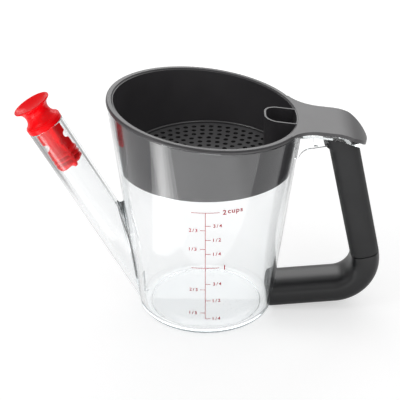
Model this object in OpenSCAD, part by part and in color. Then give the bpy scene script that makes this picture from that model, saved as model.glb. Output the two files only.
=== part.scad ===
// Gravy fat separator: a clear measuring jug whose spout starts at the floor,
// a strainer that lifts out of its mouth and a stopper that plugs the spout.
//
// Millimetres. The origin is the centre of the foot on the table, +Z is up,
// +X points to the handle and the spout leans towards -X. Every piece is
// mirror-symmetric about the XZ plane, apart from the stopper's fins.

/* [Cup] */
// Outer radius that the tapered wall would have at the table
cup_base_r = 38.3; // [32:0.1:46]
// Outward lean of the cup wall in degrees
cup_lean = 7.15; // [5:0.05:9]
// Thickness of the cup wall
cup_wall = 2; // [1.6:0.1:2.6]
// Thickness of the cup floor
cup_floor = 2.2; // [1.6:0.1:4]
// Radius of the round between the wall and the foot
cup_corner_r = 4.5; // [3:0.1:6]
// Radius of the round between the floor and the wall, inside
cavity_corner_r = 3; // [1.5:0.1:4]
// Height of the foot ring under the floor
foot_h = 0.8; // [0.4:0.1:2]
// Width of the foot ring's flat
foot_w = 2.2; // [1.5:0.1:4]

/* [Rim] */
// Height of the strainer's top edge on the cup's axis
rim_z = 125.4; // [110:0.1:140]
// Fall of the rim towards the handle in degrees
rim_tilt = 6.7; // [0:0.1:10]
// Thickness of the strainer's rim flange
flange_t = 2.4; // [1.8:0.1:4]
// Overhang of the flange beyond the cup wall
flange_proud = 0.2; // [0:0.1:1]
// Radius of the round on the flange's outer edge
flange_round = 0.9; // [0.4:0.1:1.1]
// Width of the bevel round the strainer's mouth
mouth_bevel = 0.7; // [0.3:0.1:1]

/* [Strainer basket] */
// Height of the basket's lower edge
basket_z = 92; // [80:0.5:100]
// Thickness of the basket wall
basket_wall = 1.3; // [1:0.1:2]
// Clearance between the basket and the cup
basket_gap = 0.35; // [0.2:0.05:0.6]
// Thickness of the perforated floor
sieve_t = 1.6; // [1.2:0.1:3]
// Height of the floor's underside above the basket's lower edge
sieve_lift = 0.6; // [0:0.1:3]
// Width of the raised ledge round the floor
ledge_w = 1.6; // [1:0.1:3]
// Height of the raised ledge round the floor
ledge_h = 0.8; // [0.4:0.1:2]
// Diameter of a drain hole
hole_d = 2.4; // [1.5:0.1:3]
// Spacing of the rings of holes, and of the holes along a ring
hole_pitch = 5; // [4:0.1:7]
// Number of rings of holes round the middle one
hole_rings = 8; // [3:1:8]

/* [Vent channel] */
// Distance from the axis to the channel's inner end
vent_x = 31.7; // [26:0.1:36]
// Outer width of the channel
vent_w = 20; // [14:0.1:24]
// Outer radius of the channel's corners
vent_corner_r = 7.5; // [5:0.1:10]
// Thickness of the channel wall
vent_wall = 1; // [0.8:0.1:1.6]
// Depth of the channel's top edge below the strainer's mouth
vent_drop = 0.2; // [0.1:0.1:4]

/* [Thumb tab] */
// Width of the tab
tab_w = 34.4; // [28:0.1:36]
// Distance from the axis to the tab's tip, along the rim
tab_reach = 90.2; // [86:0.1:94]
// Thickness of the tab
tab_t = 2; // [1.6:0.1:2.3]
// Distance from the axis to where the tab starts to bend down
tab_bend_x = 71.5; // [66:0.1:76]
// Radius of the tab's downward bend, on its top face
tab_bend_r = 27; // [22:0.1:40]
// Radius of the tab's end, seen from above
tab_end_r = 20; // [17:0.1:40]
// Radius of the blend between the tab and the rim
tab_blend_r = 20; // [8:0.1:26]

/* [Spout] */
// Lean of the spout from the vertical in degrees
spout_lean = 29.1; // [22:0.1:34]
// Distance from the cup's axis to the middle of the spout's mouth
spout_reach = 88.8; // [80:0.1:100]
// Height of the middle of the spout's mouth
spout_z = 113.4; // [95:0.1:118]
// Outer radius of the spout at its mouth
spout_r = 10.35; // [9:0.05:12]
// Narrowing of the spout's radius per millimetre of length
spout_taper = 0.002; // [0:0.0005:0.01]
// Thickness of the spout wall
spout_wall = 1.95; // [1.5:0.05:2.5]
// Height of the inlet from the cup into the spout
inlet_z = 15; // [8:0.5:30]
// Height of the web between the spout and the cup
web_z = 67; // [50:0.5:85]
// Thickness of the web between the spout and the cup
web_t = 3; // [1.5:0.1:6]

/* [Stopper] */
// Outer radius of the stopper's flange
stop_flange_r = 10.35; // [9:0.05:12]
// Radius of the stopper's knob at its lip
knob_r = 10.85; // [9:0.05:13]
// Radius of the knob's neck
neck_r = 7.2; // [5:0.1:8.5]
// Height of the knob above the end of the spout
knob_h = 14.9; // [12:0.1:20]
// Depth of the dish in the knob
dish_depth = 3; // [1:0.1:4]
// Length of the stem inside the spout
stem_len = 28; // [24:0.1:32]
// Clearance between the sealing ribs and the spout's bore
stem_gap = 0.3; // [0.1:0.05:0.5]
// Thickness of a fin
fin_t = 1.4; // [1:0.1:2]
// Turn of the fins about the spout in degrees
fin_turn = 38; // [0:1:90]
// Radius of the pouring notches in the fins
notch_r = 2.2; // [1:0.1:3]
// Distance from the flange to the notches
notch_s = 11; // [8:0.1:14]
// Thickness of a sealing rib
rib_t = 1.1; // [0.8:0.1:1.6]
// Distance from the flange to the first sealing rib
rib_s = 17.8; // [14:0.1:20]
// Spacing of the sealing ribs
rib_pitch = 2.9; // [2:0.1:3.4]

/* [Handle] */
// Width of the handle's section, across the jug
handle_w = 26; // [22:0.1:32]
// Thickness of the handle's section
handle_t = 16.6; // [12:0.1:17]
// Radius of the section's corners
handle_corner_r = 6.2; // [4:0.1:7]
// Lean of the grip from the vertical in degrees
grip_lean = 12.8; // [8:0.1:18]
// Distance from the cup's axis to the middle of the grip's top end
grip_top_x = 74.5; // [71:0.1:78]
// Height of the middle of the grip's top end
grip_top_z = 110.3; // [107:0.1:111.5]
// Height of the lower arm's middle where it leaves the cup
arm_z = 8.8; // [8.7:0.1:20]
// Rise of the lower arm away from the cup in degrees
arm_rise = 5.5; // [0:0.1:12]
// Radius of the elbow, on the handle's middle line
elbow_r = 14; // [10:0.1:20]
// Length of hard handle between the elbow and the soft grip
seam_s = 7; // [3:0.1:12]
// Width of the open joint line at the grip's lower end
seam_gap = 0.3; // [0.2:0.1:0.6]
// Thickness of the soft grip over the handle core
grip_t = 2.4; // [1.6:0.1:3]
// Overhang of the lip at the grip's top, towards the cup
lip_proud = 2.2; // [0.5:0.1:3]
// Height of that lip, without the slope under it
lip_h = 2.7; // [1:0.1:5]

/* [Handle fixings on the jug] */
// Thickness of the jug's plate over the grip
plate_t = 2.4; // [2:0.1:4]
// Drop of the plate's top below the cup's rim
plate_drop = 0.2; // [0.1:0.05:0.6]
// Distance from the tab's outline to the plate's
plate_inset = 2; // [0.5:0.1:3.5]
// Width of the bridge between the cup and the grip
bridge_w = 22.4; // [16:0.1:26]
// Thickness of the bridge's side walls
bridge_wall = 2; // [1.5:0.1:3]
// Height of the bridge's underside at the cup
bridge_z = 105.2; // [100:0.1:106]
// Rise of the bridge's underside towards the grip
bridge_rise = 1.6; // [0:0.1:3]
// Radius of the round under the bridge, at the cup
bridge_round = 7.5; // [3:0.1:9]
// Length of the jug's tongue inside the grip
tongue_len = 14; // [8:0.5:30]
// Length of the jug's boss inside the lower arm
boss_len = 9; // [5:0.5:14]
// Clearance of the tongue and the boss in their sockets
socket_gap = 0.25; // [0.15:0.05:0.4]

/* [Hidden] */
$fn = 96;

FIT = 0.1;      // gap between handle pieces that are moulded round each other
BIG = 300;      // larger than the whole object
EPS = 0.01;     // overlap of a cut past a face

CLEAR = [0.86, 0.89, 0.9, 0.4];
SATIN = [0.33, 0.33, 0.34];
DARK = [0.13, 0.13, 0.135];
SOFT = [0.2, 0.2, 0.205];
RED = [0.8, 0.03, 0.05];

// Cup: radii of the cone, and the planes across it
function cup_r(z) = cup_base_r + z * tan(cup_lean);
function cavity_r(z) = cup_r(z) - cup_wall / cos(cup_lean);
function basket_r(z) = cavity_r(z) - basket_gap;
function basket_in_r(z) = basket_r(z) - basket_wall / cos(cup_lean);
function rim_plane(x, down) = rim_z - down - x * tan(rim_tilt);

cup_floor_z = foot_h + cup_floor;
cup_corner_x = cup_base_r - cup_corner_r * (1 - sin(cup_lean)) / cos(cup_lean);
sieve_z = basket_z + sieve_lift;
sieve_top = sieve_z + sieve_t;
cone_top = rim_z + 10;
// A slanted cut through the cone isn't centred on its axis
rim_shift = -cup_r(rim_z) * tan(cup_lean) * tan(rim_tilt);
flange_r = cup_r(rim_z) + flange_proud;

// Spout: everything is measured down its axis from the mouth
spout_len = (spout_z + 5) / cos(spout_lean);
function spout_r_at(s) = spout_r - spout_taper * s;
function bore_r_at(s) = spout_r_at(s) - spout_wall;
function spout_axis_x(z) = -spout_reach + (spout_z - z) * tan(spout_lean);

// Handle: the two straight middle lines and the elbow that joins them
function grip_x(z) = grip_top_x + (grip_top_z - z) * tan(grip_lean);
function grip_face_x(z) = grip_x(z) - handle_t / 2 / cos(grip_lean);
corner_z = (arm_z + (grip_x(0) - cup_base_r) * tan(arm_rise))
    / (1 + tan(grip_lean) * tan(arm_rise));
corner_x = grip_x(corner_z);
elbow_turn = 90 + grip_lean - arm_rise;
elbow_setback = elbow_r * tan(elbow_turn / 2);
arm_len = (corner_x - cup_base_r) / cos(arm_rise) - elbow_setback;
grip_len = (grip_top_z - corner_z) / cos(grip_lean) - elbow_setback;

// Stack of faces under the tab
plate_top = flange_t + plate_drop;
plate_under = plate_top + plate_t;

// ---- shapes that several pieces share ----

// Everything above the slanted plane that lies `down` below the strainer's top
module above_rim(down) {
    rim_frame(-down) translate([-BIG / 2, -BIG / 2, 0]) cube(BIG);
}

// Work in the plane of the strainer's top: Z square to it, X towards the handle
module rim_frame(dz = 0) {
    translate([0, 0, rim_z]) rotate([0, rim_tilt, 0]) translate([0, 0, dz]) children();
}

// Work along the spout: origin in the middle of its mouth, Z out of it
module spout_frame() {
    translate([-spout_reach, 0, spout_z]) rotate([0, -spout_lean, 0]) children();
}

// A solid cone between two heights, from one of the radius functions' values
module cone_between(z0, r0, z1, r1) {
    translate([0, 0, z0]) cylinder(h = z1 - z0, r1 = r0, r2 = r1);
}

// A rectangle with round corners, centred
module pad(w, h, r) {
    square([w - 2 * r, h], center = true);
    square([w, h - 2 * r], center = true);
    for (sx = [-1, 1], sy = [-1, 1])
        translate([sx * (w / 2 - r), sy * (h / 2 - r)]) circle(r);
}

// Side view of a layer that follows the tab: flat along the rim, then bent down.
// X runs along the rim and Y up from the strainer's top.
module cap_layer(top, under, from_x) {
    translate([from_x, -under]) square([tab_bend_x - from_x, under - top]);
    translate([tab_bend_x, -tab_bend_r]) intersection() {
        difference() {
            circle(tab_bend_r - top);
            circle(tab_bend_r - under);
        }
        square(BIG);
    }
}

// The layer above, given a width across the jug
module cap_slab(top, under, from_x, width) {
    rim_frame() translate([0, width / 2, 0]) rotate([90, 0, 0])
        linear_extrude(width) cap_layer(top, under, from_x);
}

// Everything above a layer that follows the tab
module above_cap(down) {
    rim_frame() translate([0, BIG / 2, 0]) rotate([90, 0, 0]) linear_extrude(BIG)
        difference() {
            translate([0, -tab_bend_r]) square(BIG);
            translate([0, -tab_bend_r]) square([tab_bend_x, tab_bend_r - down]);
            translate([tab_bend_x, -tab_bend_r]) circle(tab_bend_r - down);
        }
}

// ---- jug ----

// Half section of a cup with a round between its floor and its wall
module cup_half(floor_z, corner_x, corner_r, top_r) {
    translate([corner_x, floor_z + corner_r]) circle(corner_r);
    polygon([
        [0, floor_z],
        [corner_x, floor_z],
        [corner_x + corner_r * cos(cup_lean), floor_z + corner_r * (1 - sin(cup_lean))],
        [top_r, cone_top],
        [0, cone_top],
    ]);
}

module cup_outer() {
    rotate_extrude() cup_half(0, cup_corner_x, cup_corner_r, cup_r(cone_top));
}

module cup_cavity() {
    corner_x = cavity_r(cup_floor_z) - cavity_corner_r * (1 - sin(cup_lean)) / cos(cup_lean);
    rotate_extrude() cup_half(cup_floor_z, corner_x, cavity_corner_r, cavity_r(cone_top));
}

module spout_tube() {
    intersection() {
        spout_frame() translate([0, 0, -spout_len])
            cylinder(h = spout_len, r1 = spout_r_at(spout_len), r2 = spout_r);
        translate([-BIG / 2, -BIG / 2, foot_h]) cube(BIG);
    }
}

// Passage of the spout. The cup's wall stays whole above its inlet at the floor,
// so that the fat on top can't reach it.
module spout_bore() {
    difference() {
        intersection() {
            spout_frame() translate([0, 0, -spout_len])
                cylinder(h = spout_len + EPS, r1 = bore_r_at(spout_len), r2 = bore_r_at(0));
            translate([-BIG / 2, -BIG / 2, cup_floor_z]) cube(BIG);
        }
        intersection() {
            cup_outer();
            translate([-BIG / 2, -BIG / 2, inlet_z]) cube(BIG);
        }
    }
}

// Thin wall that fills the narrow end of the V between the spout and the cup
module spout_web() {
    low_z = web_z / 2;
    translate([0, web_t / 2, 0]) rotate([90, 0, 0]) linear_extrude(web_t) polygon([
        [spout_axis_x(web_z), web_z],
        [-cavity_r(web_z), web_z],
        [-cavity_r(low_z), low_z],
        [spout_axis_x(low_z), low_z],
    ]);
}

// Side wall of the bridge, seen from the front, with its round at the cup
module bridge_side() {
    top_down = plate_top + plate_t / 2;
    round_z = bridge_z - bridge_round;
    round_x = cup_r(round_z) + bridge_round / cos(cup_lean);
    touch_z = round_z + bridge_round * sin(cup_lean);
    polygon([
        [cup_r(bridge_z) - cup_wall / 2, bridge_z],
        [round_x, bridge_z],
        [grip_face_x(bridge_z), bridge_z + bridge_rise],
        [grip_top_x, grip_top_z],
        [tab_bend_x + handle_t / 3, rim_plane(tab_bend_x + handle_t / 3, top_down)],
        [cup_r(bridge_z) - cup_wall / 2, rim_plane(cup_r(bridge_z), top_down)],
    ]);
    difference() {
        polygon([
            [cup_r(touch_z) - cup_wall / 2, touch_z],
            [round_x - bridge_round * cos(cup_lean), touch_z],
            [round_x, round_z],
            [round_x, bridge_z + EPS],
            [cup_r(bridge_z) - cup_wall / 2, bridge_z + EPS],
        ]);
        translate([round_x, round_z]) circle(bridge_round);
    }
}

// Clear bridge from the rim to the grip: a plate on two side walls and a rib
module bridge() {
    rib_x = cup_r(bridge_z) + bridge_round;
    rib_z = bridge_z + bridge_rise / 2;
    intersection() {
        cap_slab(plate_top, plate_under, cup_base_r, tab_w);
        tab_outline(plate_inset);
    }
    difference() {
        union() {
            for (side = [-1, 1])
                translate([0, side * (bridge_w - bridge_wall) / 2 + bridge_wall / 2, 0])
                    rotate([90, 0, 0]) linear_extrude(bridge_wall) bridge_side();
            translate([rib_x, EPS - bridge_w / 2, rib_z])
                cube([bridge_wall, bridge_w - 2 * EPS, rim_plane(rib_x, plate_top) - rib_z]);
        }
        above_cap(plate_top + plate_t / 2);
        grip_envelope(FIT);
    }
}

// Work along the grip: origin where the grip meets the elbow, Z up the grip,
// X away from the cup
module grip_frame() {
    translate([corner_x, 0, corner_z]) rotate([0, -grip_lean, 0])
        translate([0, 0, elbow_setback]) children();
}

// Work along the lower arm: origin where the arm meets the elbow, Z towards the
// cup, X upwards
module arm_frame() {
    translate([corner_x, 0, corner_z]) rotate([0, -90 - arm_rise, 0])
        translate([0, 0, elbow_setback]) children();
}

// Outside of the grip, grown by `gap`: its straight part and the lip at its top
module grip_envelope(gap) {
    face_x = -handle_t / 2 - gap;
    lip_s = grip_len - lip_h - gap;
    grip_frame() {
        linear_extrude(grip_len + gap) handle_section(-gap);
        intersection() {
            translate([-lip_proud, 0, 0]) linear_extrude(grip_len + gap) handle_section(-gap);
            rotate([90, 0, 0]) translate([0, 0, -BIG / 2]) linear_extrude(BIG) polygon([
                [0, lip_s - lip_proud],
                [face_x, lip_s - lip_proud],
                [face_x - lip_proud - EPS, lip_s + EPS],
                [face_x - lip_proud - EPS, grip_len + 1],
                [0, grip_len + 1],
            ]);
        }
    }
}

// Tongue that holds the top of the grip
module tongue(gap) {
    difference() {
        grip_frame() translate([0, 0, grip_len - tongue_len - gap]) linear_extrude(2 * tongue_len)
            pad(handle_t - 2 * grip_t - 4.4 + 2 * gap, handle_w / 2 + 2 * gap, 1.5);
        above_cap(plate_under - plate_t / 2);
    }
}

// Boss that holds the end of the lower arm
module boss(gap) {
    intersection() {
        arm_frame() linear_extrude(arm_len + 10)
            pad(handle_t / 2 + 2 * gap, handle_w / 2 + 2 * gap, 2);
        cone_between(0, cup_r(0) + boss_len + gap, cone_top, cup_r(cone_top) + boss_len + gap);
    }
}

module jug() {
    color(CLEAR) difference() {
        union() {
            difference() {
                union() {
                    cup_outer();
                    spout_tube();
                    spout_web();
                    boss(0);
                }
                above_rim(flange_t);
                spout_bore();
            }
            bridge();
            tongue(0);
        }
        cup_cavity();
        translate([0, 0, -EPS]) cylinder(r = cup_corner_x - foot_w, h = foot_h + EPS);
    }
}

// ---- handle ----

module handle_section(inset = 0) {
    pad(handle_t - 2 * inset, handle_w - 2 * inset, handle_corner_r - inset);
}

// Elbow between the grip and the lower arm. It runs a few degrees into both, and
// is drawn in by a hair so that it stays inside them there.
module elbow() {
    lap = 4;
    grip_frame() translate([-elbow_r, 0, 0]) rotate([-90, -lap, 0])
        rotate_extrude(angle = elbow_turn + 2 * lap)
            translate([elbow_r, 0]) handle_section(0.05);
}

module handle_core() {
    color(DARK) difference() {
        union() {
            // lower arm, up to the cup's wall
            arm_frame() linear_extrude(arm_len + 5) handle_section();
            elbow();
            // hard end of the grip, and the core inside the soft sleeve
            grip_frame() linear_extrude(seam_s) handle_section();
            grip_frame() translate([0, 0, seam_s / 2]) linear_extrude(grip_len - seam_s / 2)
                handle_section(grip_t);
        }
        cone_between(-EPS, cup_r(0) + FIT, cone_top, cup_r(cone_top) + FIT);
        above_cap(plate_under + FIT);
        tongue(socket_gap);
        boss(socket_gap);
    }
}

module handle_grip() {
    color(SOFT) difference() {
        grip_envelope(0);
        grip_frame() translate([-BIG / 2, -BIG / 2, seam_s + seam_gap - BIG]) cube(BIG);
        grip_frame() linear_extrude(2 * grip_len) handle_section(grip_t - FIT);
        above_cap(plate_under + FIT);
    }
}

// ---- strainer ----

// The tab seen from above in the plane of the rim, drawn in by `inset`
module tab_plan(inset) {
    half = tab_w / 2 - inset;
    tip = tab_reach - inset;
    end_r = tab_end_r - inset;
    ring_r = flange_r - inset;
    blend_y = half + tab_blend_r;
    blend_x = rim_shift + sqrt(pow(ring_r + tab_blend_r, 2) - pow(blend_y, 2));
    touch_x = rim_shift + (blend_x - rim_shift) * ring_r / (ring_r + tab_blend_r);
    touch_y = blend_y * ring_r / (ring_r + tab_blend_r);
    difference() {
        polygon([
            [touch_x, -touch_y],
            [blend_x, -blend_y],
            [blend_x, -half],
            [tip, -half],
            [tip, half],
            [blend_x, half],
            [blend_x, blend_y],
            [touch_x, touch_y],
        ]);
        for (side = [-1, 1]) translate([blend_x, side * blend_y]) circle(tab_blend_r);
        difference() {
            translate([tip - end_r, -BIG / 2]) square([BIG, BIG]);
            translate([tip - end_r, 0]) circle(end_r);
        }
    }
}

module tab_outline(inset) {
    rim_frame(-BIG / 2) linear_extrude(BIG) tab_plan(inset);
}

// Rim flange: a flat ring in the slanted plane with a round outer edge
module flange() {
    rim_frame(-flange_t) translate([rim_shift, 0, 0]) rotate_extrude() {
        square([flange_r - flange_round, flange_t]);
        translate([0, flange_round]) square([flange_r, flange_t - 2 * flange_round]);
        for (z = [flange_round, flange_t - flange_round])
            translate([flange_r - flange_round, z]) circle(flange_round);
    }
}

// The tab's top lies a hair below the ring's, so that the two faces don't coincide
module tab() {
    intersection() {
        cap_slab(0.02, tab_t, 0, tab_w + 2 * tab_blend_r);
        tab_outline(0);
    }
}

// Plan of the vent channel's outside, drawn in by `inset`
module vent_plan(inset) {
    r = vent_corner_r - inset;
    half = vent_w / 2 - inset;
    reach = basket_r(rim_z);
    translate([vent_x + inset + r, -half]) square([reach - vent_x - r, 2 * half]);
    translate([vent_x + inset, r - half]) square([reach - vent_x, 2 * (half - r)]);
    for (side = [-1, 1])
        translate([vent_x + inset + r, side * (half - r)]) circle(r);
}

// A hole is left out where the vent channel or the ledge takes its place
function hole_fits(x, y) =
    !(x > vent_x - hole_d && abs(y) < vent_w / 2 + hole_d)
    && norm([x, y]) < basket_in_r(sieve_top) - ledge_w - hole_d;

module drain_holes() {
    for (ring = [0:hole_rings]) {
        count = ring == 0 ? 1 : round(2 * PI * ring);
        for (i = [0:count - 1]) {
            turn = 360 * (i + (ring % 2) / 2) / count;
            x = ring * hole_pitch * cos(turn);
            y = ring * hole_pitch * sin(turn);
            if (hole_fits(x, y))
                translate([x, y, sieve_z - 1]) cylinder(d = hole_d, h = sieve_t + 2, $fn = 24);
        }
    }
}

// Inside of the basket: its tapered wall, the ledge, and the bevel at its mouth.
// The bevel starts just outside the wall, so that the two cones never graze.
module basket_inside() {
    cone_between(sieve_top + ledge_h, basket_in_r(sieve_top + ledge_h),
        cone_top, basket_in_r(cone_top));
    translate([0, 0, sieve_top])
        cylinder(r = basket_in_r(sieve_top) - ledge_w, h = ledge_h + EPS);
    bevel_r = basket_in_r(rim_z) + 0.5;
    rim_frame(-mouth_bevel) translate([rim_shift, 0, 0])
        cylinder(r1 = bevel_r, r2 = bevel_r + 2 * mouth_bevel, h = 2 * mouth_bevel);
}

module strainer() {
    color(SATIN) difference() {
        union() {
            difference() {
                union() {
                    difference() {
                        cone_between(basket_z, basket_r(basket_z), cone_top, basket_r(cone_top));
                        above_rim(flange_t / 2);
                    }
                    flange();
                    tab();
                }
                basket_inside();
                drain_holes();
                translate([0, 0, basket_z - EPS])
                    cylinder(r = basket_in_r(basket_z), h = sieve_lift + EPS);
            }
            // vent channel wall
            intersection() {
                translate([0, 0, basket_z]) linear_extrude(rim_z) vent_plan(0);
                difference() {
                    cone_between(basket_z, basket_r(basket_z), cone_top, basket_r(cone_top));
                    above_rim(vent_drop);
                }
            }
        }
        // vent channel bore, closed on the handle side by the basket's own wall
        intersection() {
            translate([0, 0, basket_z - 1]) linear_extrude(rim_z) vent_plan(vent_wall);
            cone_between(basket_z - 1, basket_in_r(basket_z - 1), cone_top, basket_in_r(cone_top));
        }
    }
}

// ---- stopper ----

// Half section of the knob and the flange that seats on the spout's mouth
module knob_half() {
    waist_r = 6;
    waist_z = 8.6;
    dish_rim = knob_r - 1;
    dish_r = (pow(dish_rim, 2) + pow(dish_depth, 2)) / (2 * dish_depth);
    difference() {
        union() {
            square([stop_flange_r, waist_z]);
            translate([0, waist_z]) square([knob_r, knob_h - waist_z]);
        }
        translate([neck_r + waist_r, waist_z]) circle(waist_r);
        translate([0, knob_h - dish_depth + dish_r]) circle(dish_r);
        translate([-BIG, 0]) square([BIG, BIG]);
    }
}

// One fin of the stem: a plate with round corners and a notch in each edge
module fin_plate() {
    half = bore_r_at(stem_len) - stem_gap - 0.4;
    corner = 3;
    difference() {
        union() {
            translate([-half, corner - stem_len]) square([2 * half, stem_len - corner + EPS]);
            translate([corner - half, -stem_len]) square([2 * (half - corner), stem_len]);
            for (side = [-1, 1])
                translate([side * (half - corner), corner - stem_len]) circle(corner);
        }
        for (side = [-1, 1]) translate([side * half, -notch_s]) circle(notch_r);
    }
}

module spout_stopper() {
    rib_count = 3;
    color(RED) spout_frame() {
        rotate_extrude() knob_half();
        rotate([0, 0, fin_turn]) for (turn = [0, 90])
            rotate([90, 0, turn]) translate([0, 0, -fin_t / 2]) linear_extrude(fin_t) fin_plate();
        for (i = [0:rib_count - 1]) {
            s = rib_s + i * rib_pitch + rib_t;
            translate([0, 0, -s]) cylinder(r = bore_r_at(s) - stem_gap, h = rib_t);
        }
    }
}

jug();
handle_core();
handle_grip();
strainer();
spout_stopper();
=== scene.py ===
# %% [markdown]
# # A gravy fat separator
# A clear measuring jug pours from its bottom: the spout starts at the floor, so the fat that floats on
# top stays behind. A dark strainer sits in the jug's mouth and a red stopper plugs the spout.
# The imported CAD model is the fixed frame. It says where everything is and what moves, and it could be
# shown as it is. Its pieces are replaced here one by one, because the real ones have rounds, printed
# marks and finishes that a construction model leaves out.

import math

import bmesh
import bpy
from mathutils import Matrix, Vector


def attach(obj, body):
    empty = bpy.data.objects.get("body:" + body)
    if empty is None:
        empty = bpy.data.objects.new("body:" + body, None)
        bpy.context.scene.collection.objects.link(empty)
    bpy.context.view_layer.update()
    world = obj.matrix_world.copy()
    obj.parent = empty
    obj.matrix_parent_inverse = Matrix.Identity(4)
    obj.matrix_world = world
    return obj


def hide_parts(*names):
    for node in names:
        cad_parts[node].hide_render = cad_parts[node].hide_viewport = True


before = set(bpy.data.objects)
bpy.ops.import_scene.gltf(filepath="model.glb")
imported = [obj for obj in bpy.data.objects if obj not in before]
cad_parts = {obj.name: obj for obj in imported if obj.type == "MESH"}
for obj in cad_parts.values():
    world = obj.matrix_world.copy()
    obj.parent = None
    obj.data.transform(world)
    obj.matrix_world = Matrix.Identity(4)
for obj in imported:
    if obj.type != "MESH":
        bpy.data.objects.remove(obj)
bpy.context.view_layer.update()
MM = 0.001

# %% [markdown]
# ## The camera
# The photo is taken with a long lens from slightly above. A camera could be placed by eye and nudged.
# This one was worked out from the rim's and the foot's ellipses, so every edge lines up.

# %% Camera
CAMERA_PLACE = (5.07, -635.95, 415.43)
CAMERA_PITCH = math.radians(28.73)
CAMERA_TURN = math.radians(0.77)
LENS = 114.78
SENSOR = 36
FAR_CLIP_M = 20


def add_object(name, data):
    thing = bpy.data.objects.new(name, data)
    bpy.context.scene.collection.objects.link(thing)
    return thing


def add_camera():
    camera = add_object("camera", bpy.data.cameras.new("camera"))
    camera.data.lens = LENS
    camera.data.sensor_width = SENSOR
    camera.data.clip_end = FAR_CLIP_M
    camera.location = Vector(CAMERA_PLACE) * MM
    camera.rotation_euler = (math.pi / 2 - CAMERA_PITCH, 0, CAMERA_TURN)
    bpy.context.scene.camera = camera
    return camera


print("camera lens, mm:", add_camera().data.lens)

# %% [markdown]
# ## Measures
# The script can't read the CAD's source, so the few measures that the new pieces need are repeated
# here, in millimetres. The cup is a cone: its radius is a rule, and every piece asks that rule.

# %% Measures of the cup
CUP_LEAN = math.radians(7.15)
CUP_WALL = 2.0
CUP_BASE_R = 38.32
CUP_CORNER_R = 4.5
CAVITY_CORNER_R = 3.0
CUP_FLOOR = 3.0
FOOT_H = 0.8
FOOT_W = 2.2
RIM_Z = 125.4
RIM_TILT = math.radians(6.7)
FLANGE_T = 2.4
CONE_TOP = 136.0


def cup_r(z):
    return CUP_BASE_R + z * math.tan(CUP_LEAN)


def cavity_r(z):
    return cup_r(z) - CUP_WALL / math.cos(CUP_LEAN)


print("cup radius at foot and rim, mm:", round(cup_r(0), 1), round(cup_r(RIM_Z), 1))

# %% Measures of the spout
SPOUT_LEAN = math.radians(29.1)
SPOUT_R = 10.35
SPOUT_TAPER = 0.002
SPOUT_WALL = 1.95
SPOUT_LEN = 135.5
INLET_Z = 15.0
MOUTH = Vector((-88.8, 0, 113.4))
SPOUT_OUT = Vector((-math.sin(SPOUT_LEAN), 0, math.cos(SPOUT_LEAN)))
SPOUT_SIDE = Vector((math.cos(SPOUT_LEAN), 0, math.sin(SPOUT_LEAN)))
ACROSS = Vector((0, 1, 0))
SPOUT_FRAME = Matrix.Translation(MOUTH) @ Matrix.Rotation(-SPOUT_LEAN, 4, "Y")
RIM_FRAME = Matrix.Translation((0, 0, RIM_Z)) @ Matrix.Rotation(RIM_TILT, 4, "Y")


def spout_r(depth):
    return SPOUT_R - SPOUT_TAPER * depth


print("spout leans, degrees:", round(math.degrees(SPOUT_LEAN), 1))

# %% [markdown]
# ## Mesh tools
# Turned parts, like the cup, the tube and the knob, come from one half section that is spun round an
# axis. Swept parts, like the handle, come from rings joined in a row. A modelling program's Screw or
# Spin tools do the same, but a short function says exactly where each point goes.
# All shapes are made in millimetres, because boolean cuts are safest on numbers of ordinary size,
# and they are scaled to metres in the last step.

# %% Arcs, turned and swept solids
def arc(centre_r, centre_z, radius, from_deg, to_deg, steps):
    turns = [math.radians(from_deg + (to_deg - from_deg) * i / steps) for i in range(steps + 1)]
    return [(centre_r + radius * math.cos(t), centre_z + radius * math.sin(t)) for t in turns]


def spaced(start, end, longest):
    """Points between two points, without the first one, no further apart than `longest`."""
    count = max(1, math.ceil(math.dist(start, end) / longest))
    return [tuple(a + (b - a) * i / count for a, b in zip(start, end)) for i in range(1, count + 1)]


def as_mesh(name, bm):
    mesh = bpy.data.meshes.new(name)
    bm.to_mesh(mesh)
    bm.free()
    return mesh


def to_object(name, bm):
    """A new object, with every face turned outwards."""
    bmesh.ops.recalc_face_normals(bm, faces=bm.faces)
    return add_object(name, as_mesh(name, bm))


def swept(name, rings, loop=False):
    """A closed solid through equal rings of points, capped at both ends unless it is a loop."""
    bm = bmesh.new()
    rows = [[bm.verts.new(point) for point in ring] for ring in rings]
    count = len(rows[0])
    pairs = list(zip(rows, rows[1:])) + ([(rows[-1], rows[0])] if loop else [])
    for low, high in pairs:
        for i in range(count):
            j = (i + 1) % count
            bm.faces.new((low[i], low[j], high[j], high[i]))
    if not loop:
        bm.faces.new(rows[0])
        bm.faces.new(rows[-1])
    return to_object(name, bm)


def turned(name, section, steps, place=Matrix()):
    """A closed solid of revolution about Z; the section starts and ends on the axis."""
    bm = bmesh.new()
    rows = []
    for radius, height in section:
        if radius < 1e-6:
            rows.append([bm.verts.new(place @ Vector((0, 0, height)))])
            continue
        turns = [2 * math.pi * (i + 0.5) / steps for i in range(steps)]
        rows.append([bm.verts.new(place @ Vector((radius * math.cos(t), radius * math.sin(t), height)))
                     for t in turns])
    for low, high in zip(rows, rows[1:]):
        for i in range(steps):
            j = (i + 1) % steps
            corners = [low[i % len(low)], low[j % len(low)], high[j % len(high)], high[i % len(high)]]
            bm.faces.new([v for k, v in enumerate(corners) if v not in corners[:k]])
    return to_object(name, bm)


def prism(name, outline, low, high, place=Matrix()):
    """An outline in the XY plane made into a solid from `low` to `high`."""
    return swept(name, [[place @ Vector((x, y, z)) for x, y in outline] for z in (low, high)])


# %% Boolean cuts
WELD = 1e-4


def baked(thing):
    """Run an object's modifiers, keep what they make as its mesh, and take them off."""
    graph = bpy.context.evaluated_depsgraph_get()
    mesh = bpy.data.meshes.new_from_object(thing.evaluated_get(graph))
    thing.modifiers.clear()
    thing.data = mesh
    return thing


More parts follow.
